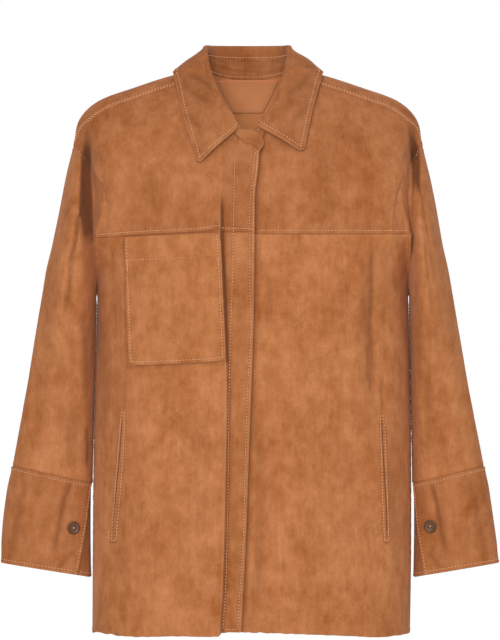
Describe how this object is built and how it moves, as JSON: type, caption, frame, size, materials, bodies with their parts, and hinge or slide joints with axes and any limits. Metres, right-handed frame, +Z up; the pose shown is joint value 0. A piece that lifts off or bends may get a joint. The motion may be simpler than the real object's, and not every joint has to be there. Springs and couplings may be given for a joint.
{
  "type": "shirt jacket",
  "caption": "Collared hip-length suede shirt jacket with concealed button placket, chest pocket, welt side pockets and buttoned cuffs, filled out and hollow.",
  "frame": {"origin": "in the middle of the neck opening, at the height of the back neck seam, where what fills the jacket holds it", "axes": "+Z up from hem to collar, +Y from the fronts to the back, +X towards the wearer's left sleeve"},
  "size_m": [0.6303, 0.2397, 0.7472],
  "materials": {
    "suede": "matt brushed nap",
    "suede_light": "smooth matt",
    "horn": "satin"
  },
  "bodies": {
    "root": {"back_lower": "suede", "back_yoke": "suede", "front_right_yoke": "suede", "front_left_yoke": "suede", "front_right_lower": "suede", "front_left_lower": "suede", "placket_cover": "suede", "collar_stand": "suede", "collar_leaf": "suede", "neck_patch": "suede_light", "chest_pocket": "suede", "pocket_welt_right": "suede", "pocket_welt_left": "suede", "sleeve_right": "suede", "sleeve_left": "suede", "cuff_right": "suede", "cuff_left": "suede", "cuff_button_right": "horn", "cuff_button_left": "horn", "placket_button_1": "horn", "placket_button_2": "horn", "placket_button_3": "horn", "placket_button_4": "horn", "placket_button_5": "horn", "placket_button_6": "horn"}
  },
  "joints": []
}
